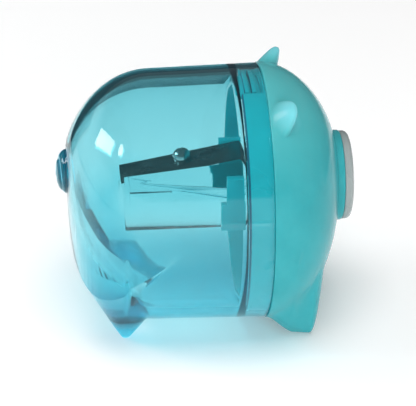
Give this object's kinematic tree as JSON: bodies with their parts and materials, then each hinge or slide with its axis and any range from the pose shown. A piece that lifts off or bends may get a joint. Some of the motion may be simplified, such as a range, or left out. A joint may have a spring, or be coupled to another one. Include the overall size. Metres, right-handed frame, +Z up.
{
  "type": "pencil sharpener",
  "caption": "Pig-shaped pencil sharpener: a clear round shavings tub that pulls off a milky head, with a wedge sharpener block, blade and pencil hole behind a white snout ring.",
  "frame": {"origin": "centre of the bounding box's base: on the ground under the body, half way from tail to snout", "axes": "+X towards the snout along the pencil's axis, +Z up, +Y to the pig's left"},
  "size_m": [0.055, 0.0482, 0.0485],
  "materials": {
    "clear_teal_plastic": "clear, polished",
    "milky_teal_plastic": "milky, glossy",
    "turquoise_plastic": "translucent, glossy",
    "white_plastic": "satin",
    "clear_block_plastic": "clear",
    "blade_steel": "ground",
    "screw_steel": "plated"
  },
  "bodies": {
    "head": {"head_shell": "milky_teal_plastic", "inner_carrier": "turquoise_plastic", "snout_ring": "white_plastic", "sharpener_block": "clear_block_plastic", "blade": "blade_steel", "blade_screw": "screw_steel"},
    "tub": {"tub": "clear_teal_plastic"}
  },
  "joints": [
    {"name": "tub_pull", "type": "slide", "parent": "head", "child": "tub", "axis": [-1, 0, 0], "range_m": [0, 0.04]}
  ]
}
